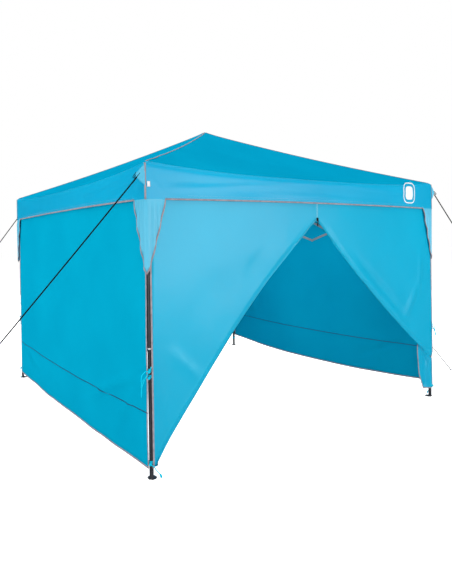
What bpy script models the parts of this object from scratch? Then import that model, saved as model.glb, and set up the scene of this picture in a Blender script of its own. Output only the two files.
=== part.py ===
"""A pop up gazebo: telescopic legs, a three-cross scissor truss along each side, folding roof arms
to a centre hub, a peaked canopy with a valance, four side walls and guy ropes.

Metres, +Z up. The origin is on the ground under the centre of the square plan. The side with the
door faces -Y. Corners are numbered round the plan, and every corner and side is the first one
turned by quarter turns about Z.
"""

import math

import bmesh
import bpy
from mathutils import Matrix, Vector

# Driving dimensions of the whole gazebo
CANOPY_SIDE = 3.0  # outside of the valance, corner to corner
PEAK_Z = 2.575
EAVE_Z = 1.966  # eave fold at a corner
EAVE_SAG = 0.045  # how much lower the eave hangs in mid side
HIP_SAG = 0.022  # how far a hip hangs below a straight line
PANEL_SAG = 0.03  # how far a roof panel hangs between its hips
VALANCE_Z = 1.735  # lower edge of the valance
FLAP_Z = 1.275  # tip of a corner flap
FLAP_REACH = 0.14  # how far a flap reaches along each side
FABRIC = 0.001  # thickness given to the cloth solids

# Legs
LEG_AXIS = 1.472  # leg centre from the centre lines of the plan
OUTER_TUBE = 0.025
INNER_TUBE = 0.020
TUBE_WALL = 0.0011
OUTER_BOTTOM_Z = 0.81
LEG_TOP_Z = 1.945
INNER_TOP_Z = 1.08
FOOT_SIDE = 0.055
FOOT_THICKNESS = 0.005
FOOT_SHIFT = 0.009  # the foot plate sits this far towards the inside, each way
FOOT_CORNER = 0.012
RIM_HEIGHT = 0.012  # pressed collar at the lower end of the outer tube
RIM_PROUD = 0.0015
LOCK_Z = 0.836  # sprung pin near the lower end of the outer tube, on the side towards the next corner
LOCK_RADIUS = 0.004
LOCK_CLEARANCE = 0.0006
LOCK_HOLE_SIDES = 14
LOCK_REACH = 0.0025  # how far the pin's tip goes in past the inner tube's face
LOCK_HEAD_RADIUS = 0.0075
LOCK_HEAD = 0.006
LOCK_ROUNDING = 0.0015
HEIGHT_STEP = 0.125  # between the holes in the inner tube
HEIGHT_STEPS = 6

# Side trusses: three crosses on each side
PIVOT_OUT = 0.060  # first pivot from the leg centre
TRUSS_TOP_Z = 1.895
TRUSS_DEPTH = 0.41
CROSSES = 3
BAR_HEIGHT = 0.022
BAR_THICKNESS = 0.011
BAR_WALL = 0.001
BAR_END = 0.011  # bar beyond its pin
PLANE_GAP = 0.002  # between the two bars of a cross
SPAN = 2 * (LEG_AXIS - PIVOT_OUT)
CROSS_SPAN = SPAN / CROSSES
BAR_PITCH = math.hypot(CROSS_SPAN, TRUSS_DEPTH)  # pin to pin
BAR_ANGLE = math.atan2(TRUSS_DEPTH, CROSS_SPAN)

# Roof arms: two equal links from the hub to each leg top, at the same angle as the truss bars
ARM_LEG_PIVOT = 0.042  # pin from the leg centre, on the diagonal
ARM_HUB_PIVOT = math.sqrt(2) * PIVOT_OUT - ARM_LEG_PIVOT
ARM_PITCH = BAR_PITCH * CROSSES / (2 * math.sqrt(2))
ARM_THICKNESS = 0.009
ARM_HEIGHT = 0.020
HUB_RADIUS = 0.026
HUB_HEIGHT = 0.050
MAST_RADIUS = 0.0125
MAST_CAP_RADIUS = 0.028
MAST_CAP_HEIGHT = 0.030
MAST_CAP_DOME = 0.012
MAST_CLEARANCE = 0.006  # under the canopy's peak

# Brackets
LUG_THICKNESS = 0.008
LUG_HALF_HEIGHT = 0.014
LUG_BEYOND_PIN = 0.012
TONGUE_THICKNESS = 0.006
TONGUE_HALF_HEIGHT = 0.012
CAP_HEIGHT = 0.080
CAP_ROOF = 0.006
CAP_WALL = 0.0025
SLIDER_HALF_HEIGHT = 0.022
SLIDER_CLEARANCE = 0.0008
SLIDER_WALL = 0.004

# Side walls
WALL_TOP_Z = 1.890
WALL_HEM_Z = 0.060
WALL_FACE = 1.4965  # outside of a wall from the centre line of the plan
WALL_HALF = 1.448  # half the width of a wall
WALL_START = 1.410  # a wall stops a little short of the leg it is tied to last
DOOR_APEX_Z = 1.61
DOOR_CORNER = (1.31, 0.47)  # where the pulled-back right half turns down to its tie
DOOR_TIE = (1.39, 0.08)
BACK_HEM_Z = 0.09  # the right and back walls hang a little shorter

# Guy ropes: diameter, and for each the end on the canopy and the peg end
ROPE_DIAMETER = 0.009
ROPE_POINTS = 20
ROPE_SAG = 0.010
ROPE_END_Z = 0.022  # at the hook of its peg
ROPES = {
    "guy_rope_front_left": ((-1.522, -1.483, 1.897), (-2.819, -0.469, ROPE_END_Z)),
    "guy_rope_front_right": ((1.522, -1.515, 1.866), (2.426, -2.149, ROPE_END_Z)),
    "guy_rope_back_left": ((-1.400, 1.518, 1.880), (-2.790, 1.518, ROPE_END_Z)),
    "guy_rope_right_side": ((1.516, -0.137, 1.868), (2.442, -1.112, ROPE_END_Z)),
}

MESH_GAP = 0.0003
CORNERS = ("front_left", "front_right", "back_right", "back_left")
SIDES = ("front", "right", "back", "left")

COLOURS = {
    "canopy_blue": ((0.005, 0.37, 0.62, 1.0), 0.62, 0.0),
    "wall_blue": ((0.006, 0.40, 0.66, 1.0), 0.62, 0.0),
    "leg_paint": ((0.035, 0.037, 0.042, 1.0), 0.42, 0.35),
    "bar_paint": ((0.26, 0.27, 0.28, 1.0), 0.45, 0.35),
    "bracket_nylon": ((0.02, 0.02, 0.022, 1.0), 0.55, 0.0),
    "zinc": ((0.60, 0.60, 0.62, 1.0), 0.35, 0.9),
    "rope_black": ((0.012, 0.012, 0.013, 1.0), 0.8, 0.0),
}


def clear_scene():
    for old in list(bpy.data.objects):
        bpy.data.objects.remove(old, do_unlink=True)


def material(name):
    found = bpy.data.materials.get(name)
    if found:
        return found
    colour, roughness, metallic = COLOURS[name]
    made = bpy.data.materials.new(name)
    made.use_nodes = True
    shader = made.node_tree.nodes["Principled BSDF"]
    shader.inputs["Base Color"].default_value = colour
    shader.inputs["Roughness"].default_value = roughness
    shader.inputs["Metallic"].default_value = metallic
    made.diffuse_color = colour
    return made


def as_object(name, bm, finish, hidden=False):
    bmesh.ops.recalc_face_normals(bm, faces=bm.faces)
    mesh = bpy.data.meshes.new(name)
    bm.to_mesh(mesh)
    bm.free()
    made = bpy.data.objects.new(name, mesh)
    bpy.context.scene.collection.objects.link(made)
    made.data.materials.append(material(finish))
    if hidden:
        made.hide_render = True
        made.display_type = "WIRE"
    return made


def quarter(turns):
    """The rotation that takes the first corner or side to the one that many places round."""
    return Matrix.Rotation(turns * math.pi / 2, 4, "Z")


def add_box(bm, low, high):
    """A box between two corners, given in any order."""
    low, high = Vector(low), Vector(high)
    centre = (low + high) / 2
    size = high - low
    scale = Matrix.Diagonal((abs(size.x), abs(size.y), abs(size.z), 1.0))
    bmesh.ops.create_cube(bm, size=1.0, matrix=Matrix.Translation(centre) @ scale)


def add_tube(bm, half_x, half_y, wall, low_z, high_z):
    """A square tube along Z, open at both ends."""
    loops = []
    signs = ((-1, -1), (1, -1), (1, 1), (-1, 1))
    for inset, z in ((0.0, low_z), (0.0, high_z), (wall, high_z), (wall, low_z)):
        x, y = half_x - inset, half_y - inset
        loops.append([bm.verts.new((sx * x, sy * y, z)) for sx, sy in signs])
    for one, two in zip(loops, loops[1:] + loops[:1]):
        for i in range(4):
            j = (i + 1) % 4
            bm.faces.new((one[i], one[j], two[j], two[i]))


def unite(base, *others):
    """Boolean unions, applied, so that base is one closed body."""
    combine(base, "UNION", others)


def cut(base, *cutters):
    combine(base, "DIFFERENCE", cutters)


def combine(base, operation, others):
    for other in others:
        step = base.modifiers.new(operation.lower(), "BOOLEAN")
        step.operation = operation
        step.solver = "EXACT"
        step.object = other
        bpy.context.view_layer.update()
        evaluated = base.evaluated_get(bpy.context.evaluated_depsgraph_get())
        result = bpy.data.meshes.new_from_object(evaluated)
        base.modifiers.remove(step)
        base.data = result
        bpy.data.objects.remove(other, do_unlink=True)


def box_object(low, high):
    bm = bmesh.new()
    add_box(bm, low, high)
    return as_object("tool", bm, "bracket_nylon")


def bar(name, start, end, side_axis, offset, height, thickness, finish):
    """A rectangular tube from pin to pin. side_axis points across the bar and offset moves it that way."""
    start, end = Vector(start), Vector(end)
    along = (end - start).normalized()
    across = Vector(side_axis).normalized()
    up = across.cross(along)
    bm = bmesh.new()
    length = (end - start).length
    add_tube(bm, thickness / 2, height / 2, BAR_WALL, -BAR_END, length + BAR_END)
    made = as_object(name, bm, finish)
    turn = Matrix((across, up, along)).transposed().to_4x4()
    made.matrix_world = Matrix.Translation(start + across * offset) @ turn
    return made


def place(made, turn):
    """Turns an object that was modelled at the first corner or side to its own."""
    made.matrix_world = turn @ made.matrix_world
    return made


# Legs. Everything is modelled at the first corner, which is at -X -Y, and then turned.

LEG = Vector((-LEG_AXIS, -LEG_AXIS, 0.0))
OUT_PLANE = (BAR_THICKNESS + PLANE_GAP) / 2
LUG_IN = PLANE_GAP / 2
LUG_FAR = LUG_IN + LUG_THICKNESS


def lug(top_z, along_x, outer_side):
    """A plate beside a truss bar's end, running from the bracket to just past the pin."""
    start = OUTER_TUBE / 2 + CAP_WALL / 2
    end = PIVOT_OUT + LUG_BEYOND_PIN
    sign = -1 if outer_side else 1
    low = (start, sign * LUG_IN, top_z - LUG_HALF_HEIGHT)
    high = (end, sign * LUG_FAR, top_z + LUG_HALF_HEIGHT)
    if not along_x:
        low = (low[1], low[0], low[2])
        high = (high[1], high[0], high[2])
    return box_object(LEG + Vector(low), LEG + Vector(high))


def arm_tongue():
    """A plate on the diagonal that a roof arm is pinned to, beside the arm."""
    bm = bmesh.new()
    low = (OUTER_TUBE / 2, LUG_IN, TRUSS_TOP_Z - TONGUE_HALF_HEIGHT)
    high = (ARM_LEG_PIVOT + LUG_BEYOND_PIN, LUG_IN + TONGUE_THICKNESS, TRUSS_TOP_Z + TONGUE_HALF_HEIGHT)
    add_box(bm, low, high)
    made = as_object("tool", bm, "bracket_nylon")
    made.matrix_world = Matrix.Translation(LEG) @ Matrix.Rotation(math.pi / 4, 4, "Z")
    return made


def leg_outer(name, turn):
    bm = bmesh.new()
    half = OUTER_TUBE / 2
    add_tube(bm, half, half, TUBE_WALL, OUTER_BOTTOM_Z, LEG_TOP_Z - CAP_ROOF / 3)
    bmesh.ops.translate(bm, verts=bm.verts, vec=LEG)
    leg = as_object(name, bm, "leg_paint")
    rim_bm = bmesh.new()
    rim = half + RIM_PROUD
    add_tube(rim_bm, rim, rim, RIM_PROUD + TUBE_WALL / 2, OUTER_BOTTOM_Z, OUTER_BOTTOM_Z + RIM_HEIGHT)
    bmesh.ops.translate(rim_bm, verts=rim_bm.verts, vec=LEG)
    collar = as_object("tool", rim_bm, "leg_paint")
    cap = half + CAP_WALL
    cap_bottom = LEG_TOP_Z - CAP_HEIGHT
    cap_box = box_object(LEG + Vector((-cap, -cap, cap_bottom)), LEG + Vector((cap, cap, LEG_TOP_Z)))
    bore = half - TUBE_WALL
    bore_low = LEG + Vector((-bore, -bore, cap_bottom - CAP_ROOF))
    bore_box = box_object(bore_low, LEG + Vector((bore, bore, LEG_TOP_Z - CAP_ROOF)))
    cut(cap_box, bore_box)
    unite(
        leg,
        collar,
        cap_box,
        lug(TRUSS_TOP_Z, True, False),
        lug(TRUSS_TOP_Z, False, True),
        arm_tongue(),
    )
    cut(leg, lock_hole(half, LOCK_Z))
    return place(leg, turn)


def lock_hole(half, z):
    """A cutter for the lock pin's hole in the side of a tube that faces the next corner."""
    bm = bmesh.new()
    radius = LOCK_RADIUS + LOCK_CLEARANCE
    bmesh.ops.create_cone(
        bm,
        cap_ends=True,
        segments=LOCK_HOLE_SIDES,
        radius1=radius,
        radius2=radius,
        depth=2 * LOCK_HEAD,
        matrix=Matrix.Translation(LEG + Vector((half, 0, z))) @ Matrix.Rotation(math.pi / 2, 4, "Y"),
    )
    return as_object("tool", bm, "zinc")


def leg_inner(name, turn):
    """The inner tube, its row of height holes and its foot plate."""
    bm = bmesh.new()
    half = INNER_TUBE / 2
    add_tube(bm, half, half, TUBE_WALL, FOOT_THICKNESS / 2, INNER_TOP_Z)
    bmesh.ops.translate(bm, verts=bm.verts, vec=LEG)
    leg = as_object(name, bm, "leg_paint")
    side = FOOT_SIDE / 2
    centre = LEG + Vector((FOOT_SHIFT, FOOT_SHIFT, 0))
    plate_bm = bmesh.new()
    add_box(plate_bm, centre + Vector((-side, -side, 0)), centre + Vector((side, side, FOOT_THICKNESS)))
    upright = [e for e in plate_bm.edges if abs(e.verts[0].co.z - e.verts[1].co.z) > FOOT_THICKNESS / 2]
    bmesh.ops.bevel(plate_bm, geom=upright, offset=FOOT_CORNER, segments=3, affect="EDGES")
    unite(leg, as_object("tool", plate_bm, "leg_paint"))
    cut(leg, *[lock_hole(half, LOCK_Z - i * HEIGHT_STEP) for i in range(HEIGHT_STEPS + 1)])
    return place(leg, turn)


def leg_lock(name, turn):
    """The sprung pin that holds a leg at its height: a headed pin through the outer tube into the inner one."""
    inner = INNER_TUBE / 2 - LOCK_REACH
    face = OUTER_TUBE / 2 + MESH_GAP
    outer = face + LOCK_HEAD
    profile = [(inner, 0.0), (inner, LOCK_RADIUS), (face, LOCK_RADIUS), (face, LOCK_HEAD_RADIUS)]
    profile += [(outer - LOCK_ROUNDING, LOCK_HEAD_RADIUS), (outer, LOCK_HEAD_RADIUS - LOCK_ROUNDING), (outer, 0.0)]
    bm = bmesh.new()
    verts = [bm.verts.new((x, 0, r)) for x, r in profile]
    edges = [bm.edges.new(pair) for pair in zip(verts, verts[1:])]
    bmesh.ops.spin(bm, geom=verts + edges, cent=(0, 0, 0), axis=(1, 0, 0), angle=2 * math.pi, steps=16)
    bmesh.ops.remove_doubles(bm, verts=bm.verts, dist=1e-5)
    made = as_object(name, bm, "zinc")
    made.location = LEG + Vector((0, 0, LOCK_Z))
    bpy.context.view_layer.update()
    return place(made, turn)


def slider(name, turn):
    z = TRUSS_TOP_Z - TRUSS_DEPTH
    bore = OUTER_TUBE / 2 + SLIDER_CLEARANCE
    bm = bmesh.new()
    shell = bore + SLIDER_WALL
    add_tube(bm, shell, shell, SLIDER_WALL, z - SLIDER_HALF_HEIGHT, z + SLIDER_HALF_HEIGHT)
    bmesh.ops.translate(bm, verts=bm.verts, vec=LEG)
    made = as_object(name, bm, "bracket_nylon")
    unite(made, lug(z, True, True), lug(z, False, False))
    return place(made, turn)


# Trusses, arms and hub


def truss(side, turn):
    """The three crosses of one side. Bars that fall along the side lie outside, bars that rise inside."""
    top, low = TRUSS_TOP_Z, TRUSS_TOP_Z - TRUSS_DEPTH
    for i in range(CROSSES):
        left = -SPAN / 2 + i * CROSS_SPAN
        right = left + CROSS_SPAN
        y = -LEG_AXIS
        fall = bar(
            f"truss_{side}_fall_{i + 1}", (left, y, top), (right, y, low), (0, -1, 0), OUT_PLANE,
            BAR_HEIGHT, BAR_THICKNESS, "bar_paint",
        )
        rise = bar(
            f"truss_{side}_rise_{i + 1}", (left, y, low), (right, y, top), (0, 1, 0), OUT_PLANE,
            BAR_HEIGHT, BAR_THICKNESS, "bar_paint",
        )
        place(fall, turn)
        place(rise, turn)


def roof_arm(corner, turn):
    """Two links in a shallow V from the hub to the leg top, pinned at an elbow."""
    inward = Vector((1, 1, 0)).normalized()
    across = Vector((1, -1, 0)).normalized()
    outer_radius = math.sqrt(2) * LEG_AXIS - ARM_LEG_PIVOT
    leg_pin = -inward * outer_radius + Vector((0, 0, TRUSS_TOP_Z))
    hub_pin = -inward * ARM_HUB_PIVOT + Vector((0, 0, TRUSS_TOP_Z))
    elbow = (leg_pin + hub_pin) / 2 - Vector((0, 0, ARM_PITCH * math.sin(BAR_ANGLE)))
    offset = (ARM_THICKNESS + PLANE_GAP) / 2
    lower = bar(
        f"roof_arm_lower_{corner}", leg_pin, elbow, across, offset, ARM_HEIGHT, ARM_THICKNESS, "bar_paint"
    )
    upper = bar(
        f"roof_arm_upper_{corner}", hub_pin, elbow, across, -offset, ARM_HEIGHT, ARM_THICKNESS, "bar_paint"
    )
    place(lower, turn)
    place(upper, turn)


def centre_hub():
    bm = bmesh.new()
    bmesh.ops.create_cone(
        bm, cap_ends=True, segments=24, radius1=HUB_RADIUS, radius2=HUB_RADIUS, depth=HUB_HEIGHT,
        matrix=Matrix.Translation((0, 0, TRUSS_TOP_Z)),
    )
    hub = as_object("centre_hub", bm, "bracket_nylon")
    for turns in range(len(CORNERS)):
        low = (HUB_RADIUS / 2, LUG_IN, TRUSS_TOP_Z - TONGUE_HALF_HEIGHT)
        outer_end = ARM_HUB_PIVOT + LUG_BEYOND_PIN
        high = (outer_end, LUG_IN + TONGUE_THICKNESS, TRUSS_TOP_Z + TONGUE_HALF_HEIGHT)
        plate = box_object(low, high)
        plate.matrix_world = Matrix.Rotation(math.radians(225) + turns * math.pi / 2, 4, "Z")
        unite(hub, plate)
    return hub


def centre_mast():
    """The tube on the hub that lifts the peak, with its domed cap."""
    top = PEAK_Z - FABRIC - MAST_CLEARANCE
    base = TRUSS_TOP_Z + HUB_HEIGHT / 2 + MESH_GAP
    profile = [(0.0, top)]
    steps = 4
    for i in range(1, steps + 1):
        angle = i * math.pi / 2 / steps
        profile.append((MAST_CAP_RADIUS * math.sin(angle), top - MAST_CAP_DOME * (1 - math.cos(angle))))
    profile += [(MAST_CAP_RADIUS, top - MAST_CAP_HEIGHT), (MAST_RADIUS, top - MAST_CAP_HEIGHT - 0.008)]
    profile += [(MAST_RADIUS, base), (0.0, base)]
    bm = bmesh.new()
    verts = [bm.verts.new((r, 0, z)) for r, z in profile]
    edges = [bm.edges.new(pair) for pair in zip(verts, verts[1:])]
    bmesh.ops.spin(bm, geom=verts + edges, cent=(0, 0, 0), axis=(0, 0, 1), angle=2 * math.pi, steps=16)
    bmesh.ops.remove_doubles(bm, verts=bm.verts, dist=1e-5)
    return as_object("centre_mast", bm, "zinc")


# Cloth

EAVE = CANOPY_SIDE / 2


def roof_height(share, along):
    """Height of the roof: share is 0 at the peak and 1 at the eave, along is -1 to 1 between two hips."""
    straight = PEAK_Z + (EAVE_Z - PEAK_Z) * share
    hip = HIP_SAG * math.sin(math.pi * share)
    panel = (EAVE_SAG * share**2 + PANEL_SAG * math.sin(math.pi * share) * share) * (1 - along**2)
    return straight - hip - panel


def canopy():
    shares = (0.12, 0.35, 0.6, 0.82, 1.0)
    flap = 1 - FLAP_REACH / EAVE
    alongs = (-1.0, -flap, -0.55, 0.0, 0.55, flap)
    bm = bmesh.new()

    def loop(share, lift, inset, height):
        points = []
        for turns in range(4):
            for along in alongs:
                half = EAVE * share - inset
                point = Vector((along * half, -half, height(share, along) + lift))
                points.append(bm.verts.new(quarter(turns) @ point))
        return points

    def hem(_, along):
        return FLAP_Z if abs(along) == 1.0 else VALANCE_Z

    loops = [loop(share, 0.0, 0.0, roof_height) for share in shares]
    loops.append(loop(1.0, 0.0, 0.0, hem))
    loops.append(loop(1.0, 0.0, FABRIC, hem))
    loops += [loop(share, -FABRIC, FABRIC * share, roof_height) for share in reversed(shares)]
    count = 4 * len(alongs)
    for one, two in zip(loops, loops[1:]):
        for i in range(count):
            j = (i + 1) % count
            bm.faces.new((one[i], one[j], two[j], two[i]))
    for ring, z in ((loops[0], PEAK_Z), (loops[-1], PEAK_Z - FABRIC)):
        tip = bm.verts.new((0, 0, z))
        for i in range(count):
            bm.faces.new((tip, ring[i], ring[(i + 1) % count]))
    return as_object("canopy", bm, "canopy_blue")


def wall(name, outline, turn):
    """A hanging sheet: its outline, as (along the side, height), extruded inwards."""
    bm = bmesh.new()
    face = bm.faces.new([bm.verts.new((x, -WALL_FACE, z)) for x, z in outline])
    grown = bmesh.ops.extrude_face_region(bm, geom=[face])["geom"]
    bmesh.ops.translate(bm, verts=[g for g in grown if isinstance(g, bmesh.types.BMVert)], vec=(0, FABRIC, 0))
    bmesh.ops.triangulate(bm, faces=[f for f in bm.faces if len(f.verts) > 4])
    return place(as_object(name, bm, "wall_blue"), turn)


def walls():
    corner_x, corner_z = DOOR_CORNER
    tie_x, tie_z = DOOR_TIE
    door_wall = [
        (-WALL_HALF, WALL_HEM_Z),
        (0.0, DOOR_APEX_Z),
        (corner_x, corner_z),
        (corner_x + 0.02, (corner_z + tie_z) / 2),
        (tie_x, tie_z),
        (WALL_HALF, tie_z),
        (WALL_HALF, WALL_TOP_Z),
        (-WALL_HALF, WALL_TOP_Z),
    ]
    wall("wall_front", door_wall, quarter(0))
    for turns, hem_z in ((1, BACK_HEM_Z), (2, BACK_HEM_Z), (3, WALL_HEM_Z)):
        plain = [(-WALL_HALF, hem_z), (WALL_START, hem_z), (WALL_START, WALL_TOP_Z), (-WALL_HALF, WALL_TOP_Z)]
        wall(f"wall_{SIDES[turns]}", plain, quarter(turns))


def rope(name, start, end):
    """A taut guy rope with a slight sag, as a round tube on a smooth curve."""
    start, end = Vector(start), Vector(end)
    curve = bpy.data.curves.new(name, "CURVE")
    curve.dimensions = "3D"
    curve.bevel_depth = ROPE_DIAMETER / 2
    curve.bevel_resolution = 2
    curve.use_fill_caps = True
    spline = curve.splines.new("POLY")
    spline.points.add(ROPE_POINTS - 1)
    for i, point in enumerate(spline.points):
        share = i / (ROPE_POINTS - 1)
        place_on = start.lerp(end, share) - Vector((0, 0, 4 * ROPE_SAG * share * (1 - share)))
        point.co = (*place_on, 1.0)
    made = bpy.data.objects.new(name, curve)
    made.data.materials.append(material("rope_black"))
    bpy.context.scene.collection.objects.link(made)
    return made


def main():
    clear_scene()
    for turns, (corner, side) in enumerate(zip(CORNERS, SIDES)):
        turn = quarter(turns)
        leg_outer(f"leg_outer_{corner}", turn)
        leg_inner(f"leg_inner_{corner}", turn)
        leg_lock(f"leg_lock_{corner}", turn)
        slider(f"slider_{corner}", turn)
        roof_arm(corner, turn)
        truss(side, turn)
    centre_hub()
    centre_mast()
    canopy()
    walls()
    for name, (start, end) in ROPES.items():
        rope(name, start, end)


main()
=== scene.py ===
"""The looks of the pop up gazebo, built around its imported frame: the camera and lights, the guy ropes
with their pegs, the canopy with its binding and tabs, the four walls with the zipped doorway, the ties,
and a finish for every part of the steel frame.

Metres, +Z up, the frame's own coordinates. The side with the doorway faces -Y. Everything that repeats
round the plan is described at the first corner, which is at -X -Y, or on the first side, and then turned
by quarter turns about Z. On a side, x runs from the side's first corner to the next one.
"""

import math

import bmesh
import bpy
from mathutils import Matrix, Vector, noise


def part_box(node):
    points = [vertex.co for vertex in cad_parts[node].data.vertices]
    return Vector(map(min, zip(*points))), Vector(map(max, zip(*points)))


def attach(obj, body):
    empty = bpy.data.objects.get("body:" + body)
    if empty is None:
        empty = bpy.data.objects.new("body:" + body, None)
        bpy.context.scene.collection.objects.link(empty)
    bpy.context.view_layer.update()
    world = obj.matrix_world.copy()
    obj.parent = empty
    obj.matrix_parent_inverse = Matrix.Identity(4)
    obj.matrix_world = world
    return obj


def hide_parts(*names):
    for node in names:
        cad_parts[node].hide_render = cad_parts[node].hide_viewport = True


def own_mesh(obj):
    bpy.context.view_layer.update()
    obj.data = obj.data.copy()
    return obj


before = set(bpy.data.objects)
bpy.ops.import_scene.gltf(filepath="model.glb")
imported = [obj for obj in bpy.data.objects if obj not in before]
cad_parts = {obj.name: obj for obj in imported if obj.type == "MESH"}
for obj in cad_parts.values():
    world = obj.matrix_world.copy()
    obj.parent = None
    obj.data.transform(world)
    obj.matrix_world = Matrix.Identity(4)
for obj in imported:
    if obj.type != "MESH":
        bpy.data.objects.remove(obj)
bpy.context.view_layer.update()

CORNERS = ("front_left", "front_right", "back_right", "back_left")
SIDES = ("front", "right", "back", "left")


def quarter(turns):
    """The rotation that takes the first corner or side to the one that many places round."""
    return Matrix.Rotation(turns * math.pi / 2, 4, "Z")


def placed(name, data):
    """A new object in the scene. Without data it is an empty."""
    made = bpy.data.objects.new(name, data)
    bpy.context.scene.collection.objects.link(made)
    return made


def smooth_step(low, high, value):
    share = min(1.0, max(0.0, (value - low) / (high - low)))
    return share * share * (3 - 2 * share)


# Sizes that come from the frame

canopy_low, canopy_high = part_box("canopy")
EAVE = canopy_high.x
PEAK_Z = canopy_high.z
FLAP_Z = canopy_low.z
OUTER_BOTTOM_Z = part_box("leg_outer_front_left")[0].z
LEG_AXIS = 1.472
OUTER_TUBE = 0.025
INNER_TUBE = 0.020

# Cloth sizes
EAVE_Z = 1.966
EAVE_SAG = 0.048
HIP_SAG = 0.022
PANEL_SAG = 0.03
VALANCE_Z = 1.735
FLAP_REACH = 0.14
WALL_TOP_Z = 1.890
WALL_Y = -1.4925
WALL_HALF = 1.448
WALL_END = 1.475
WALL_DOOR_START = -1.466
WALL_STARTS = {"left": -1.434}  # the far leg shows beyond the left wall
WALL_DOOR_END = 1.487  # the front wall covers the far leg
CLOTH = 0.0006
WELD = 1e-5
BINDING_WIDTH = 0.013
BINDING_DEPTH = 0.004

# Guy ropes: the end on the canopy and the end at the peg, as in the frame
ROPE_DIAMETER = 0.009
ROPE_POINTS = 20
ROPE_SAG = 0.010
ROPE_END_Z = 0.022
ROPES = {
    "guy_rope_front_left": ((-1.522, -1.483, 1.897), (-2.819, -0.469, ROPE_END_Z), "front_left"),
    "guy_rope_front_right": ((1.522, -1.515, 1.866), (2.426, -2.149, ROPE_END_Z), "front_right"),
    "guy_rope_back_left": ((-1.400, 1.518, 1.880), (-2.790, 1.518, ROPE_END_Z), "back_left"),
    "guy_rope_right_side": ((1.516, -0.137, 1.868), (2.442, -1.112, ROPE_END_Z), "front_right"),
}


# Camera, at the photograph's viewing angle

IMAGE_WIDTH = 452
IMAGE_HEIGHT = 584
CAMERA_AT = Vector((-2.991, -4.281, 1.472))
CAMERA_HEADING = 32.414  # degrees from +Y towards +X
CAMERA_ROLL = 0.922
FOCAL_IN_IMAGE = 513.11  # focal length, where the image is IMAGE_HEIGHT high
AXIS_FROM_LEFT = 183.87
AXIS_FROM_TOP = 241.19


def camera():
    data = bpy.data.cameras.new("camera")
    data.sensor_width = 36.0
    data.lens = FOCAL_IN_IMAGE * data.sensor_width / IMAGE_HEIGHT
    data.shift_x = (IMAGE_WIDTH / 2 - AXIS_FROM_LEFT) / IMAGE_HEIGHT
    data.shift_y = (AXIS_FROM_TOP - IMAGE_HEIGHT / 2) / IMAGE_HEIGHT
    data.clip_end = 200.0
    made = placed("camera", data)
    heading = Matrix.Rotation(math.radians(-CAMERA_HEADING), 4, "Z")
    level = Matrix.Rotation(math.radians(90), 4, "X")
    roll = Matrix.Rotation(math.radians(-CAMERA_ROLL), 4, "Z")
    made.matrix_world = Matrix.Translation(CAMERA_AT) @ heading @ level @ roll
    bpy.context.scene.camera = made


camera()


# Materials


class Shader:
    """A Principled material and the few node patterns that the gazebo's finishes are made of."""

    def __init__(self, name, colour, roughness, metallic=0.0, specular=0.5):
        self.material = bpy.data.materials.new(name)
        self.material.use_nodes = True
        self.nodes = self.material.node_tree.nodes
        self.links = self.material.node_tree.links
        self.shader = self.nodes["Principled BSDF"]
        self.shader.inputs["Base Color"].default_value = (*colour, 1.0)
        self.shader.inputs["Roughness"].default_value = roughness
        self.shader.inputs["Metallic"].default_value = metallic
        self.shader.inputs["Specular IOR Level"].default_value = specular
        self.material.diffuse_color = (*colour, 1.0)
        self.place = self.nodes.new("ShaderNodeTexCoord").outputs["Object"]
        self.height = None

    def link(self, source, target):
        self.links.new(source, target)

    def math(self, operation, one, two=None):
        node = self.nodes.new("ShaderNodeMath")
        node.operation = operation
        for socket, value in zip(node.inputs, (one, two)):
            if value is None:
                continue
            if isinstance(value, (int, float)):
                socket.default_value = value
            else:
                self.link(value, socket)
        return node.outputs[0]

    def noise(self, scale, detail=3.0, stretch=(1.0, 1.0, 1.0)):
        mapping = self.nodes.new("ShaderNodeMapping")
        mapping.inputs["Scale"].default_value = stretch
        self.link(self.place, mapping.inputs["Vector"])
        texture = self.nodes.new("ShaderNodeTexNoise")
        texture.inputs["Scale"].default_value = scale
        texture.inputs["Detail"].default_value = detail
        self.link(mapping.outputs[0], texture.inputs["Vector"])
        return texture.outputs["Fac"]

    def threads(self, pitch):
        """The height of a plain weave with threads that far apart, across x + y and along z."""
        split = self.nodes.new("ShaderNodeSeparateXYZ")
        self.link(self.place, split.inputs[0])
        across = self.math("ADD", split.outputs["X"], split.outputs["Y"])
        warp = self.math("SINE", self.math("MULTIPLY", across, 2 * math.pi / pitch))
        weft = self.math("SINE", self.math("MULTIPLY", split.outputs["Z"], 2 * math.pi / pitch))
        return self.math("MULTIPLY", warp, weft)

    def add_height(self, height, depth):
        scaled = self.math("MULTIPLY", height, depth)
        self.height = scaled if self.height is None else self.math("ADD", self.height, scaled)

    def bump(self):
        node = self.nodes.new("ShaderNodeBump")
        node.inputs["Strength"].default_value = 1.0
        node.inputs["Distance"].default_value = 1.0
        self.link(self.height, node.inputs["Height"])
        self.link(node.outputs["Normal"], self.shader.inputs["Normal"])

    def vary_colour(self, pattern, dark, light):
        ramp = self.nodes.new("ShaderNodeValToRGB")
        ramp.color_ramp.elements[0].position = 0.3
        ramp.color_ramp.elements[0].color = (*dark, 1.0)
        ramp.color_ramp.elements[1].position = 0.7
        ramp.color_ramp.elements[1].color = (*light, 1.0)
        self.link(pattern, ramp.inputs[0])
        self.link(ramp.outputs[0], self.shader.inputs["Base Color"])

    def vary_roughness(self, pattern, low, high):
        node = self.nodes.new("ShaderNodeMapRange")
        node.inputs["To Min"].default_value = low
        node.inputs["To Max"].default_value = high
        self.link(pattern, node.inputs["Value"])
        self.link(node.outputs[0], self.shader.inputs["Roughness"])


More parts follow.
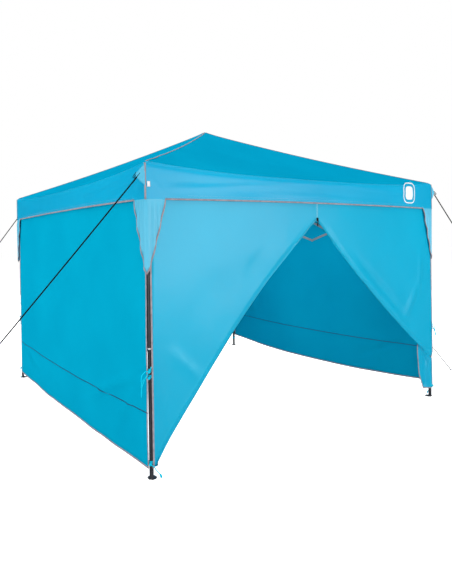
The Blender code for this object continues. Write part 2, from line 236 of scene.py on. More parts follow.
def cloth_shader(name, dark, light, roughness, specular=0.5):
    """Coated polyester: a fine weave, faint creases and a slightly uneven colour."""
    cloth = Shader(name, light, roughness, specular=specular)
    cloth.add_height(cloth.threads(0.0016), 0.00002)
    cloth.add_height(cloth.noise(5.0, 2.0, (1.0, 1.0, 0.7)), 0.003)
    cloth.add_height(cloth.noise(42.0, 3.0), 0.0002)
    cloth.bump()
    cloth.vary_colour(cloth.noise(1.3, 2.0), dark, light)
    cloth.vary_roughness(cloth.noise(6.0), roughness - 0.03, roughness + 0.03)
    return cloth.material


def binding_shader():
    """Woven binding tape, greyish pink."""
    tape = Shader("binding_tape", (0.34, 0.29, 0.32), 0.75, specular=0.25)
    tape.add_height(tape.threads(0.0022), 0.00012)
    tape.bump()
    tape.vary_colour(tape.noise(30.0), (0.27, 0.23, 0.26), (0.40, 0.34, 0.37))
    return tape.material


def cord_shader(name, dark, light):
    """Braided cord: crossing strands."""
    cord = Shader(name, light, 0.85, specular=0.12)
    cord.add_height(cord.threads(0.0035), 0.0003)
    cord.bump()
    cord.vary_colour(cord.noise(160.0), dark, light)
    return cord.material


def painted_shader():
    """Charcoal powder coat with a fine orange peel and small rubbed spots."""
    paint = Shader("powder_coat", (0.040, 0.042, 0.050), 0.42)
    paint.add_height(paint.noise(700.0, 2.0), 0.00006)
    paint.bump()
    paint.vary_colour(paint.noise(5.0), (0.032, 0.034, 0.042), (0.052, 0.054, 0.062))
    paint.vary_roughness(paint.noise(18.0), 0.34, 0.50)
    return paint.material


def bar_shader():
    """Grey satin powder coat, a little rubbed in patches here and there."""
    paint = Shader("bar_coat", (0.26, 0.27, 0.28), 0.45, specular=0.4)
    paint.add_height(paint.noise(600.0, 2.0), 0.00005)
    paint.bump()
    paint.vary_colour(paint.noise(7.0), (0.22, 0.23, 0.24), (0.29, 0.30, 0.31))
    paint.vary_roughness(paint.noise(22.0), 0.38, 0.54)
    return paint.material


def plastic_shader(name, dark, light, roughness):
    plastic = Shader(name, light, roughness)
    plastic.add_height(plastic.noise(450.0, 2.0), 0.00005)
    plastic.bump()
    plastic.vary_colour(plastic.noise(8.0), dark, light)
    return plastic.material


def zinc_shader():
    zinc = Shader("zinc_plate", (0.60, 0.60, 0.62), 0.34, metallic=1.0)
    zinc.add_height(zinc.noise(300.0, 2.0, (1.0, 1.0, 0.05)), 0.00004)
    zinc.bump()
    zinc.vary_colour(zinc.noise(25.0), (0.52, 0.52, 0.55), (0.68, 0.68, 0.70))
    zinc.vary_roughness(zinc.noise(60.0), 0.26, 0.42)
    return zinc.material


# The roof and three walls show no sheen from the camera, so theirs is a matt version of the cloth. Its
# darker base colour is painted shade: the same cloth, darkened for the weaker light on those faces.
CANOPY_CLOTH = cloth_shader("canopy_cloth", (0.0012, 0.36, 0.61), (0.0020, 0.40, 0.66), 0.32)
ROOF_CLOTH_PAINTED_SHADE = cloth_shader("roof_cloth_painted_shade", (0.0006, 0.25, 0.42), (0.0010, 0.28, 0.46), 0.5, 0.0)
MATT_CLOTH_PAINTED_SHADE = cloth_shader("matt_cloth_painted_shade", (0.0006, 0.315, 0.50), (0.0010, 0.35, 0.54), 0.5, 0.0)
WALL_CLOTH = cloth_shader("wall_cloth", (0.0010, 0.38, 0.60), (0.0018, 0.42, 0.65), 0.29)
# The corner flaps and tabs are the same cloth with a lighter, whiter base colour: a painted sheen
FLAP_CLOTH_PAINTED_SHEEN = cloth_shader("flap_cloth_painted_sheen", (0.085, 0.47, 0.68), (0.115, 0.52, 0.73), 0.36)
ZIP_CLOTH = cloth_shader("zip_tape_cloth", (0.06, 0.46, 0.66), (0.10, 0.52, 0.72), 0.55)
SEAM_DARK = cloth_shader("seam_dark", (0.001, 0.09, 0.19), (0.002, 0.12, 0.24), 0.6)
BINDING = binding_shader()
ROPE_BLACK = cord_shader("rope_black", (0.003, 0.003, 0.004), (0.009, 0.009, 0.010))
TIE_CYAN = cord_shader("tie_cyan", (0.0, 0.52, 0.75), (0.01, 0.66, 0.86))
PAINT = painted_shader()
BAR_PAINT = bar_shader()
NYLON = plastic_shader("black_nylon", (0.012, 0.012, 0.013), (0.022, 0.022, 0.024), 0.5)
WHITE_NYLON = plastic_shader("white_nylon", (0.55, 0.55, 0.56), (0.72, 0.72, 0.73), 0.5)
WHITE_PRINT = cloth_shader("white_patch", (0.78, 0.80, 0.82), (0.86, 0.88, 0.89), 0.6)
THREAD = cord_shader("thread_pale", (0.30, 0.62, 0.78), (0.42, 0.72, 0.86))
ZINC = zinc_shader()


# Mesh building


class Pieces:
    """Gathers cloth grids and strips into one mesh."""

    def __init__(self):
        self.bm = bmesh.new()

    def grid(self, rows, close=False):
        """Quads between neighbouring points of rows, which all have the same number of points."""
        made = [[self.bm.verts.new(point) for point in row] for row in rows]
        count = len(rows[0])
        for one, two in zip(made, made[1:]):
            for i in range(count if close else count - 1):
                j = (i + 1) % count
                self.bm.faces.new((one[i], one[j], two[j], two[i]))
        return made

    def strip(self, points, normal, width, thickness, sides=8, closed=False):
        """A tape or a cord: an oval, width across and thickness along normal, swept along points."""
        points = [Vector(p) for p in points]
        count = len(points)
        rows = []
        for i, point in enumerate(points):
            before = points[(i - 1) % count] if closed or i > 0 else point
            after = points[(i + 1) % count] if closed or i < count - 1 else point
            along = (after - before).normalized()
            facing = Vector(normal[i] if isinstance(normal, list) else normal)
            across = along.cross(facing).normalized()
            out = across.cross(along).normalized()
            ring = []
            for k in range(sides):
                angle = 2 * math.pi * (k + 0.5) / sides
                sideways = across * (math.cos(angle) * width / 2)
                ring.append(point + sideways + out * (math.sin(angle) * thickness / 2))
            rows.append(ring)
        made = [[self.bm.verts.new(p) for p in ring] for ring in rows]
        for one, two in zip(made, made[1:] + made[:1] if closed else made[1:]):
            for k in range(sides):
                m = (k + 1) % sides
                self.bm.faces.new((one[k], one[m], two[m], two[k]))
        if not closed:
            self.bm.faces.new(list(reversed(made[0])))
            self.bm.faces.new(made[-1])

    def box(self, low, high, turn=None, bevel=0.0):
        low, high = Vector(low), Vector(high)
        centre = (low + high) / 2
        size = high - low
        scale = Matrix.Diagonal((size.x, size.y, size.z, 1.0))
        place = Matrix.Translation(centre) @ scale
        made = bmesh.ops.create_cube(self.bm, size=1.0, matrix=(turn or Matrix.Identity(4)) @ place)
        if bevel:
            edges = list({e for v in made["verts"] for e in v.link_edges})
            bmesh.ops.bevel(self.bm, geom=edges, offset=bevel, segments=2, affect="EDGES")

    def stitches(self, points, normal, pitch=0.008, length=0.005, size=0.0009):
        """Short threads laid end to end along a line."""
        points = [Vector(p) for p in points]
        carried = 0.0
        for i, (one, two) in enumerate(zip(points, points[1:])):
            run = (two - one).length
            along = (two - one).normalized()
            facing = normal[i] if isinstance(normal, list) else normal
            while carried < run:
                start = one + along * carried
                self.strip([start, start + along * length], facing, size, size, sides=4)
                carried += pitch
            carried -= run

    def turned(self, turns):
        self.bm.transform(quarter(turns))
        return self

    def object(self, name, material):
        bmesh.ops.remove_doubles(self.bm, verts=self.bm.verts, dist=WELD)
        mesh = bpy.data.meshes.new(name)
        self.bm.to_mesh(mesh)
        self.bm.free()
        mesh.shade_smooth()
        made = placed(name, mesh)
        mesh.materials.append(material)
        return made


def thicken(piece, thickness=CLOTH):
    """Gives a cloth sheet its thickness, half to each side."""
    solid = piece.modifiers.new("thickness", "SOLIDIFY")
    solid.thickness = thickness
    solid.offset = 0.0


def crease(x, z, start, end, width, height):
    """A fold line in a sheet: a ridge along the segment from start to end that fades towards both ends."""
    start, end, here = Vector(start), Vector(end), Vector((x, z))
    along = end - start
    share = (here - start).dot(along) / along.length_squared
    if not 0.0 < share < 1.0:
        return 0.0
    away = (here - start - along * share).length
    return height * math.exp(-((away / width) ** 2)) * math.sin(math.pi * share) ** 0.7


def ripple(x, z, seed, across, down):
    return noise.noise(Vector((x * across, z * down, seed)))


# How cloth follows the folding frame

leg_pins = {}
for index, corner_name in enumerate(CORNERS):
    pin = placed(f"cloth_pin_{corner_name}", None)
    pin.location = quarter(index) @ Vector((-LEG_AXIS, -LEG_AXIS, EAVE_Z))
    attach(pin, f"leg_{corner_name}")
    leg_pins[corner_name] = pin


def hang_on_legs(piece):
    """The piece keeps its place between the four legs as the frame folds: each point moves with the legs in
    proportion to how near it is to each. A point past a leg moves with that leg."""
    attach(piece, "hub")
    bpy.context.view_layer.update()
    signs = {"front_left": (-1, -1), "front_right": (1, -1), "back_right": (1, 1), "back_left": (-1, 1)}
    for corner, (sx, sy) in signs.items():
        group = piece.vertex_groups.new(name=f"near_{corner}")
        for vertex in piece.data.vertices:
            u = max(-1.0, min(1.0, vertex.co.x / LEG_AXIS))
            v = max(-1.0, min(1.0, vertex.co.y / LEG_AXIS))
            weight = (1 + sx * u) * (1 + sy * v) / 4
            if weight > 0.0:
                group.add([vertex.index], weight, "REPLACE")
        hook = piece.modifiers.new(f"hang_{corner}", "HOOK")
        hook.object = leg_pins[corner]
        hook.vertex_group = group.name
        hook.strength = 1.0
        hook.falloff_type = "NONE"
        hook.matrix_inverse = leg_pins[corner].matrix_world.inverted()


def hang_on_side(piece, turns):
    """A wall, or what is sewn to it, rides on the leg at the start of its side."""
    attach(piece, f"leg_{CORNERS[turns]}")
    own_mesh(piece)


# Guy ropes


def rope_route(start, end):
    start, end = Vector(start), Vector(end)
    route = []
    for i in range(ROPE_POINTS):
        share = i / (ROPE_POINTS - 1)
        sag = 4 * ROPE_SAG * share * (1 - share)
        route.append(start.lerp(end, share) - Vector((0, 0, sag)))
    return route


def peg(name, at, towards):
    """A steel wire peg in the ground: a straight shank and a hook that the rope's loop goes round."""
    away = Vector((towards.x, towards.y, 0)).normalized()
    pieces = Pieces()
    wire = 0.004
    hook_radius = 0.008
    route = [at + away * hook_radius - Vector((0, 0, at.z - wire / 2))]
    for i in range(8):
        angle = math.radians(i * 30)
        route.append(
            at + away * (hook_radius * math.cos(angle)) + Vector((0, 0, hook_radius * math.sin(angle)))
        )
    across = away.cross(Vector((0, 0, 1)))
    pieces.strip(route, across, wire, wire, sides=8)
    return pieces.object(name, ZINC)


def guy_rope(name, start, end, corner):
    route = rope_route(start, end)
    out = (route[-1] - route[0]).normalized()
    gather = name == "guy_rope_right_side"
    if gather:
        pieces = Pieces()
        pieces.strip(route, (0, 0, 1), ROPE_DIAMETER, ROPE_DIAMETER, sides=8)
        piece = pieces.object(name + "_cord", ROPE_BLACK)
    else:
        curve = bpy.data.curves.new(name + "_cord", "CURVE")
        curve.dimensions = "3D"
        curve.bevel_depth = ROPE_DIAMETER / 2
        curve.bevel_resolution = 3
        curve.use_fill_caps = True
        spline = curve.splines.new("POLY")
        spline.points.add(len(route) - 1)
        for point, place in zip(spline.points, route):
            point.co = (*place, 1.0)
        curve.materials.append(ROPE_BLACK)
        piece = placed(name + "_cord", curve)
    hook = peg(name + "_peg", route[-1], out)
    for part in (piece, hook):
        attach(part, f"leg_{corner}")
        if gather:
            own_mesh(part)
    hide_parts(name)


for rope_name, (rope_start, rope_end, rope_corner) in ROPES.items():
    guy_rope(rope_name, rope_start, rope_end, rope_corner)


# Canopy: one sheet from the peak over the eaves to the valance and the corner flaps

PEAK_TENT = 0.010  # the mast lifts the very tip a little
HEM_LIFT = 0.013  # how much higher the valance's edge is in mid side
FLAP_ROUND = 0.15
FLAP_IN = 0.005  # the flap leans in towards the leg
FLAP_COLUMNS = 14
MIDDLE_COLUMNS = 48
PEAK_SHARES = (0.012, 0.028, 0.05, 0.08)
ROOF_ROWS = 32
EAVE_SHARE = 0.984  # where the roof starts to turn down
EAVE_TURN = 0.022  # the length of valance in that turn
VALANCE_ROWS = 14
FLAP_ROWS = 18


def side_columns():
    flap = [EAVE - FLAP_REACH * i / FLAP_COLUMNS for i in range(FLAP_COLUMNS)]
    middle = EAVE - FLAP_REACH
    between = [-middle + 2 * middle * i / MIDDLE_COLUMNS for i in range(MIDDLE_COLUMNS + 1)]
    return [-x for x in flap] + between + list(reversed(flap))


def roof_point(turns, along, share):
    """A point of the roof: share is 0 at the peak and 1 at the eave, along is -1 to 1 between two hips."""
    half = EAVE * share
    place = quarter(turns) @ Vector((along * half, -half, 0))
    between = 1 - abs(along) ** 3
    straight = PEAK_Z + (EAVE_Z - PEAK_Z) * share
    hip = HIP_SAG * math.sin(math.pi * share) + PEAK_TENT * (1 - math.exp(-share / 0.04)) * (1 - share)
    panel = (EAVE_SAG * share**2 + PANEL_SAG * math.sin(math.pi * share) * share) * between
    soft = noise.noise(Vector((place.x * 1.9, place.y * 1.9, 4.0))) * 0.010
    fine = noise.noise(Vector((place.x * 6.0, place.y * 6.0, 9.0))) * 0.0025
    place.z = straight - hip - panel + (soft + fine) * between * math.sin(math.pi * min(1.0, share)) ** 0.5
    return place


def eave_z(x):
    return EAVE_Z - EAVE_SAG * (1 - abs(x / EAVE) ** 3)


def hem_z(x):
    return VALANCE_Z + HEM_LIFT * (1 - (x / EAVE) ** 2)


VALANCE_FOLDS = {
    "front": (
        ((-1.42, 1.80), (-0.30, 1.87), 0.018, 0.004),
        ((-0.60, 1.80), (0.70, 1.78), 0.020, 0.003),
        ((0.20, 1.90), (1.45, 1.85), 0.016, 0.004),
        ((-1.48, 1.90), (-1.36, 1.76), 0.010, 0.003),
    ),
    "left": (
        ((0.40, 1.83), (1.49, 1.92), 0.016, 0.007),
        ((0.85, 1.80), (1.49, 1.89), 0.012, 0.006),
        ((1.15, 1.76), (1.49, 1.87), 0.010, 0.005),
    ),
}


def valance_point(turns, x, z):
    """A point of the valance or of a corner flap below it, which has soft folds."""
    inside = 1 - abs(x / EAVE) ** 12
    hang = min(1.0, max(0.0, (EAVE_Z - z) / (EAVE_Z - VALANCE_Z)))
    out = 0.003 + 0.008 * hang * (0.5 + ripple(x, z, 3.0 + turns, 1.6, 2.0))
    out += 0.003 * ripple(x, z, 7.0 + turns, 3.0, 14.0)
    for fold in VALANCE_FOLDS.get(SIDES[turns], VALANCE_FOLDS["front"]):
        out += crease(x, z, *fold)
    out = max(0.0, out) * inside
    below = max(0.0, VALANCE_Z - z)
    if below:
        away = EAVE - abs(x)
        pleat = math.sin(math.pi * away / 0.036) ** 2 * 0.010 * smooth_step(0.0, 0.02, away)
        out += pleat * min(1.0, below / 0.05) - FLAP_IN * below / (VALANCE_Z - FLAP_Z)
    lean = FLAP_IN * below / (VALANCE_Z - FLAP_Z)
    x -= math.copysign(lean, x) if abs(x) > EAVE - 1e-6 else 0.0
    return quarter(turns) @ Vector((x, -EAVE - out, z))


def flap_z(x):
    """The lower edge of a corner flap: a V with a rounded tip."""
    share = min(1.0, (EAVE - abs(x)) / FLAP_REACH)
    rounded = math.hypot(share, FLAP_ROUND) - FLAP_ROUND
    return FLAP_Z + (hem_z(EAVE - FLAP_REACH) - FLAP_Z) * rounded / (math.hypot(1, FLAP_ROUND) - FLAP_ROUND)


def side_rows(turns, columns):
    """The points of one side from the peak down to the valance's edge, row by row."""
    shares = list(PEAK_SHARES)
    step = (EAVE_SHARE - shares[-1]) / ROOF_ROWS
    shares += [shares[-1] + step * (i + 1) for i in range(ROOF_ROWS)]
    rows = [[roof_point(turns, x / EAVE, share) for x in columns] for share in shares]
    for turn_share in (0.25, 0.5, 0.75):
        row = []
        for x in columns:
            start = roof_point(turns, x / EAVE, EAVE_SHARE)
            corner = quarter(turns) @ Vector((x, -EAVE, eave_z(x) + 0.002))
            end = valance_point(turns, x, eave_z(x) - EAVE_TURN)
            row.append(start.lerp(corner, turn_share).lerp(corner.lerp(end, turn_share), turn_share))
        rows.append(row)
    for i in range(VALANCE_ROWS + 1):
        share = i / VALANCE_ROWS
        row = []
        for x in columns:
            top = eave_z(x) - EAVE_TURN
            row.append(valance_point(turns, x, top + (hem_z(x) - top) * share))
        rows.append(row)
    return rows


def flap_rows(turns, columns):
    rows = []
    for i in range(FLAP_ROWS + 1):
        share = i / FLAP_ROWS
        rows.append([valance_point(turns, x, hem_z(x) + (flap_z(x) - hem_z(x)) * share) for x in columns])
    return rows


def canopy_sheet():
    pieces = Pieces()
    columns = side_columns()
    sides = [side_rows(turns, columns[:-1]) for turns in range(4)]
    rings = [sum((side[i] for side in sides), []) for i in range(len(sides[0]))]
    made = pieces.grid(rings, close=True)
    tip = pieces.bm.verts.new((0, 0, PEAK_Z))
    for one, two in zip(made[0], made[0][1:] + made[0][:1]):
        pieces.bm.faces.new((tip, one, two))
    for turns in range(4):
        for end in (columns[: FLAP_COLUMNS + 1], columns[-FLAP_COLUMNS - 1 :]):
            pieces.grid(flap_rows(turns, end))
    bmesh.ops.remove_doubles(pieces.bm, verts=pieces.bm.verts, dist=WELD)
    bmesh.ops.dissolve_degenerate(pieces.bm, edges=pieces.bm.edges, dist=WELD)
    bmesh.ops.recalc_face_normals(pieces.bm, faces=pieces.bm.faces)
    sheet = pieces.object("canopy_sheet", CANOPY_CLOTH)
    sheet.data.materials.append(FLAP_CLOTH_PAINTED_SHEEN)
    sheet.data.materials.append(ROOF_CLOTH_PAINTED_SHADE)
    for face in sheet.data.polygons:
        # Faces below the valance: the lighter cloth, which is a painted sheen
        if face.center.z < VALANCE_Z:
            face.material_index = 1
        # The roof's faces: the darker cloth, which is painted shade
        elif max(abs(face.center.x), abs(face.center.y)) < EAVE * EAVE_SHARE:
            face.material_index = 2
    hang_on_legs(sheet)
    thicken(sheet)
    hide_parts("canopy")
    return sheet


def lower_edge(turns, inset=0.0):
    """The canopy's lower edge along one side, from flap tip to flap tip, and its outward normals."""
    points = []
    normals = []
    facing = quarter(turns) @ Vector((0, -1, 0))
    for x in side_columns()[1:-1]:
        on_flap = abs(x) > EAVE - FLAP_REACH
        z = (flap_z(x) if on_flap else hem_z(x)) + inset
        points.append(valance_point(turns, x, z) + facing * 0.001)
        normals.append(facing)
    return points, normals


def canopy_trim(sheet):
    """Binding tape over the hips, the corner seams and the whole lower edge, with its stitching."""
    tape = Pieces()
    edge = []
    edge_normals = []
    for turns in range(4):
        points, normals = lower_edge(turns)
        edge += points
        edge_normals += normals
        tip_x = EAVE - FLAP_IN
        edge.append(quarter(turns) @ Vector((tip_x, -tip_x, FLAP_Z - 0.001)))
        edge_normals.append(quarter(turns) @ Vector((1, -1, 0)))
        hip = []
        for i in range(60):
            share = 0.006 + 0.982 * i / 59
            point = roof_point(turns, -1.0, share)
            wobble = 0.006 * math.sin(44 * share)
            wobble *= smooth_step(0.70, 0.85, share) * smooth_step(0.99, 0.93, share)
            side = quarter(turns) @ Vector((1, -1, 0)).normalized()
            hip.append(point + side * (wobble if turns == 0 else 0.0) + Vector((0, 0, 0.001)))
        tape.strip(hip, (0, 0, 1), BINDING_WIDTH, BINDING_DEPTH)
        corner = quarter(turns) @ Vector((-1, -1, 0))
        seam = []
        for i in range(13):
            z = EAVE_Z - 0.006 + (VALANCE_Z - EAVE_Z + 0.004) * i / 12
            seam.append(corner * (EAVE - 0.0005) + Vector((0, 0, z)))
        tape.strip(seam, corner, BINDING_WIDTH, BINDING_DEPTH)
    tape.strip(edge, edge_normals, 0.011, 0.0035, closed=True)
    binding = tape.object("canopy_binding", BINDING)
    thread = Pieces()
    for turns in range(4):
        facing = quarter(turns) @ Vector((0, -1, 0))
        for inset in (0.010, 0.024):
            points = lower_edge(turns, inset)[0]
            inner = [p + facing * 0.0006 for p in points[2:-2]]
            if inset > 0.02:
                inner = inner[FLAP_COLUMNS:-FLAP_COLUMNS]
            thread.stitches(inner, facing, pitch=0.011, length=0.007, size=0.0011)
    stitching = thread.object("canopy_stitching", THREAD)
    for piece in (binding, stitching):
        hang_on_legs(piece)
    return binding, stitching


# Corner tabs with a buckle, where a guy rope is tied on

TAB_TOP_Z = 1.952
TAB_BOTTOM_Z = 1.815
TAB_TIP_Z = 1.884
TAB_LENGTH = 0.056
TABS = {  # each tab's foot on the canopy, and its length
    "front_left": ((-EAVE, -EAVE), TAB_LENGTH),
    "front_right": ((EAVE, -EAVE), 0.024),
    "back_left": ((-1.345, EAVE + 0.002), TAB_LENGTH),
    "back_right": ((EAVE, EAVE), 0.024),
}


def tab_direction(corner):
    """The tab points along the rope in plan, or straight out where there is no rope."""
    for start, end, at in ROPES.values():
        foot = Vector((*TABS[corner][0], 0))
        near = Vector((start[0], start[1], 0))
        if at == corner and (near - foot).length < 0.2:
            return (Vector((end[0], end[1], 0)) - near).normalized()
    return (quarter(CORNERS.index(corner)) @ Vector((-1, -1, 0))).normalized()


def corner_tab(corner):
    foot, length = TABS[corner]
    seam = Vector((*foot, 0))
    out = tab_direction(corner)
    across = out.cross(Vector((0, 0, 1)))
    pieces = Pieces()
    rows = []
    steps = 8
    for i in range(steps + 1):
        share = i / steps
        top = TAB_TOP_Z + (TAB_TIP_Z + 0.012 - TAB_TOP_Z) * share
        bottom = TAB_BOTTOM_Z + (TAB_TIP_Z - 0.012 - TAB_BOTTOM_Z) * share
        thick = 0.0022 + 0.0025 * share
        ring = []
        for k in range(16):
            angle = 2 * math.pi * k / 16
            height = (top + bottom) / 2 + (top - bottom) / 2 * math.cos(angle)
            wave = 0.002 * math.sin(9 * share + 2.5 * math.cos(angle))
            sideways = across * (thick * math.sin(angle) + wave)
            ring.append(seam + out * (length * share) + sideways + Vector((0, 0, height)))
        rows.append(ring)
    made = pieces.grid(rows, close=True)
    pieces.bm.faces.new(list(reversed(made[0])))
    pieces.bm.faces.new(made[-1])
    # The tab's lighter cloth is a painted sheen
    tab = pieces.object(f"corner_tab_{corner}", FLAP_CLOTH_PAINTED_SHEEN)
    buckle = Pieces()
    centre = seam + out * (length + 0.004) + Vector((0, 0, TAB_TIP_Z - 0.004))
    slant = Matrix.Rotation(math.radians(35), 3, across)
    up = slant @ Vector((0, 0, 1))
    forward = slant @ out
    half_long, half_short = 0.017, 0.008
    outline = [
        centre + up * half_long * a + forward * half_short * b
        for a, b in ((-1, -1), (-1, 1), (0, 1.05), (1, 1), (1, -1), (0, -1.05))
    ]
    buckle.strip(outline, across, 0.005, 0.005, closed=True)
    buckle.strip([centre - up * half_long, centre + up * half_long], across, 0.0045, 0.0045)
    clip = buckle.object(f"tab_buckle_{corner}", NYLON)
    for piece, slot in ((tab, "canopy_cloth"), (clip, "bracket_plastic")):
        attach(piece, f"leg_{corner}")


def front_patch():
    """A plain white rounded patch and a blank care tag on the front valance."""
    centre_x, centre_z = 1.152, 1.868
    facing = Vector((0, -1, 0))

    def rounded(half_width, half_height, proud=0.0016, points=40):
        ring = []
        for k in range(points):
            angle = 2 * math.pi * k / points
            c, s = math.cos(angle), math.sin(angle)
            x = centre_x + half_width * math.copysign(abs(c) ** 0.55, c)
            z = centre_z + half_height * math.copysign(abs(s) ** 0.55, s)
            ring.append(valance_point(0, x, z) + facing * proud)
        return ring

    pieces = Pieces()
    pieces.grid([rounded(0.052 * i / 8, 0.060 * i / 8) for i in range(1, 9)], close=True)
    middle = pieces.bm.verts.new(valance_point(0, centre_x, centre_z) + facing * 0.0016)
    inner = list(pieces.bm.verts)[:40]
    for one, two in zip(inner, inner[1:] + inner[:1]):
        pieces.bm.faces.new((middle, one, two))
    bmesh.ops.recalc_face_normals(pieces.bm, faces=pieces.bm.faces)
    patch = pieces.object("blank_patch", WHITE_PRINT)
    edge = Pieces()
    edge.strip(rounded(0.078, 0.088), facing, 0.011, 0.0018, closed=True)
    edging = edge.object("patch_edge", WHITE_PRINT)
    thread = Pieces()
    sewn = rounded(0.070, 0.080, 0.001)
    thread.stitches(sewn + sewn[:1], facing, pitch=0.009, length=0.006)
    stitching = thread.object("patch_stitching", THREAD)
    tag = Pieces()
    rows = []
    for i in range(6):
        z = 1.845 - 0.034 * i / 5
        proud = facing * (0.003 + 0.002 * i / 5)
        rows.append([valance_point(0, -1.488 + 0.020 * k / 4, z) + proud for k in range(5)])
    tag.grid(rows)
    label = tag.object("blank_tag", WHITE_PRINT)
    for piece in (patch, stitching, edging, label):
        hang_on_legs(piece)
    thicken(patch, 0.0008)
    thicken(label, 0.0008)


canopy = canopy_sheet()
trims = canopy_trim(canopy)
for corner_name in CORNERS:
    corner_tab(corner_name)
front_patch()


# Side walls

SEAM_Z = 0.41
SEAM_SAG = 0.035
WALL_COLUMNS = 84
WALL_ROWS = 64
FOLD_STRENGTH = 1.5
LOOSE_BELOW = 1.44  # a wall lies flat against the truss above this height

WALL_FOLDS = {
    "left": (
        ((1.38, 0.64), (0.55, 0.30), 0.030, 0.012),
        ((1.38, 0.62), (0.95, 0.10), 0.024, 0.010),
        ((-1.40, 0.45), (-0.70, 0.20), 0.035, 0.010),
        ((-1.38, 0.40), (-1.05, 0.08), 0.028, 0.009),
        ((-1.42, 1.20), (-1.15, 0.50), 0.040, 0.010),
        ((0.10, 1.60), (0.40, 0.55), 0.10, 0.008),
        ((1.30, 1.50), (1.20, 0.75), 0.05, 0.007),
    ),
    "right": (
        ((1.30, 1.10), (1.12, 0.25), 0.020, 0.012),
        ((1.22, 1.20), (1.00, 0.40), 0.020, -0.010),
        ((1.05, 1.05), (0.86, 0.45), 0.018, 0.008),
        ((-1.30, 0.50), (-0.60, 0.20), 0.030, 0.008),
        ((-0.40, 1.40), (-0.10, 0.50), 0.09, 0.007),
    ),
    "back": (
        ((-1.38, 0.62), (-0.80, 0.20), 0.030, 0.010),
        ((1.30, 0.60), (0.75, 0.22), 0.030, 0.010),
        ((-1.30, 1.20), (-1.10, 0.40), 0.025, 0.010),
        ((0.30, 1.50), (0.10, 0.55), 0.10, 0.008),
    ),
    "front": (
        ((-0.02, 1.63), (-0.10, 1.86), 0.010, 0.004),
        ((0.02, 1.63), (0.07, 1.86), 0.010, 0.004),
        ((-1.35, 0.25), (-0.35, 1.20), 0.045, 0.010),
        ((-0.70, 1.25), (-0.30, 1.62), 0.055, -0.006),
        ((-1.36, 0.80), (-1.10, 0.55), 0.040, 0.008),
        ((-1.38, 0.55), (-1.36, 0.20), 0.018, 0.007),
        ((1.36, 1.70), (1.28, 0.90), 0.030, 0.009),
        ((0.25, 1.50), (1.20, 0.68), 0.040, -0.008),
        ((1.30, 1.10), (1.05, 0.72), 0.030, 0.008),
    ),
}


def wall_out(side, x, z):
    """How far a wall bulges outwards from its plane. It hangs flat behind the valance and is tied at
    its edges."""
    turns = SIDES.index(side)
    loose = smooth_step(LOOSE_BELOW, LOOSE_BELOW - 0.30, z)
    held = 1 - min(1.0, abs(x / WALL_HALF)) ** 8
    out = 0.022 * ripple(x, z, 11.0 + turns, 0.9, 0.8) + 0.007 * ripple(x, z, 21.0 + turns, 2.8, 1.6)
    out += 0.0022 * ripple(x, z, 31.0 + turns, 7.0, 5.0)
    for start, end, width, height in WALL_FOLDS[side]:
        out += FOLD_STRENGTH * crease(x, z, start, end, width, height)
    hang = smooth_step(0.45, 0.0, z) * 0.003 * math.sin(5.0 * x + 1.3 * turns)
    slack = 0.12 + 0.88 * loose
    return (out * held + hang * held) * slack + 0.0015 * ripple(x, z, 41.0 + turns, 3.0, 2.0)


def wall_point(side, x, z, back=0.0):
    y = WALL_Y - wall_out(side, x, z) + back
    if z > LOOSE_BELOW:
        y = max(-1.4980, min(-1.4885, y))
    return quarter(SIDES.index(side)) @ Vector((x, y, z))


def hem_height(side, x):
    share = (x / WALL_HALF) ** 2
    if side == "left":
        return 0.046 + 0.026 * share
    return 0.078 + 0.066 * share


def seam_height(side, x):
    share = (x / WALL_HALF) ** 2
    rise = 0.0 if side == "left" else 0.035
    return SEAM_Z + rise - SEAM_SAG * (1 - share)


def outward(side):
    return quarter(SIDES.index(side)) @ Vector((0, -1, 0))


def edge_drift(z):
    """A wall's free edge wanders between its ties."""
    bulge = 0.006 * math.sin(math.pi * (z - 0.09) / 0.57) ** 2 if 0.09 < z < 0.66 else 0.0
    return -bulge - 0.002 * (1 + math.sin(9.0 * z)) * smooth_step(1.5, 0.9, z)


def plain_wall(side):
    pieces = Pieces()
    rows = []
    start = WALL_STARTS.get(side, -WALL_HALF)
    width = WALL_END - start
    for i in range(WALL_ROWS + 1):
        share = i / WALL_ROWS
        row = []
        for k in range(WALL_COLUMNS + 1):
            x = start + width * k / WALL_COLUMNS
            z = WALL_TOP_Z + (hem_height(side, x) - WALL_TOP_Z) * share
            drift = edge_drift(z) * smooth_step(0.9, 1.0, k / WALL_COLUMNS)
            row.append(wall_point(side, x + drift, z))
        rows.append(row)
    pieces.grid(rows)
    bmesh.ops.recalc_face_normals(pieces.bm, faces=pieces.bm.faces)
    # The side and back walls' darker cloth is painted shade
    sheet = pieces.object(f"wall_{side}_sheet", MATT_CLOTH_PAINTED_SHADE)
    tape = Pieces()
    facing = outward(side)
    tape.strip([row[0] for row in rows], facing, BINDING_WIDTH, BINDING_DEPTH)
    tape.strip([row[-1] for row in rows], facing, BINDING_WIDTH, BINDING_DEPTH)
    tape.strip(rows[-1], facing, BINDING_WIDTH, BINDING_DEPTH)
    binding = tape.object(f"wall_{side}_binding", BINDING)
    seam = Pieces()
    line = []
    for k in range(WALL_COLUMNS + 1):
        x = start + width * k / WALL_COLUMNS
        line.append(wall_point(side, x, seam_height(side, x)))
    seam.strip(line, facing, 0.009, 0.0040)
    joint = seam.object(f"wall_{side}_seam", SEAM_DARK)
    finish_wall(side, sheet, [binding, joint])


def finish_wall(side, sheet, trims_on_it):
    turns = SIDES.index(side)
    for piece in (sheet, *trims_on_it):
        hang_on_side(piece, turns)
    thicken(sheet)
    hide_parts(f"wall_{side}")


# The front wall: zipped open in the middle, each half folded back inside and tied to its leg

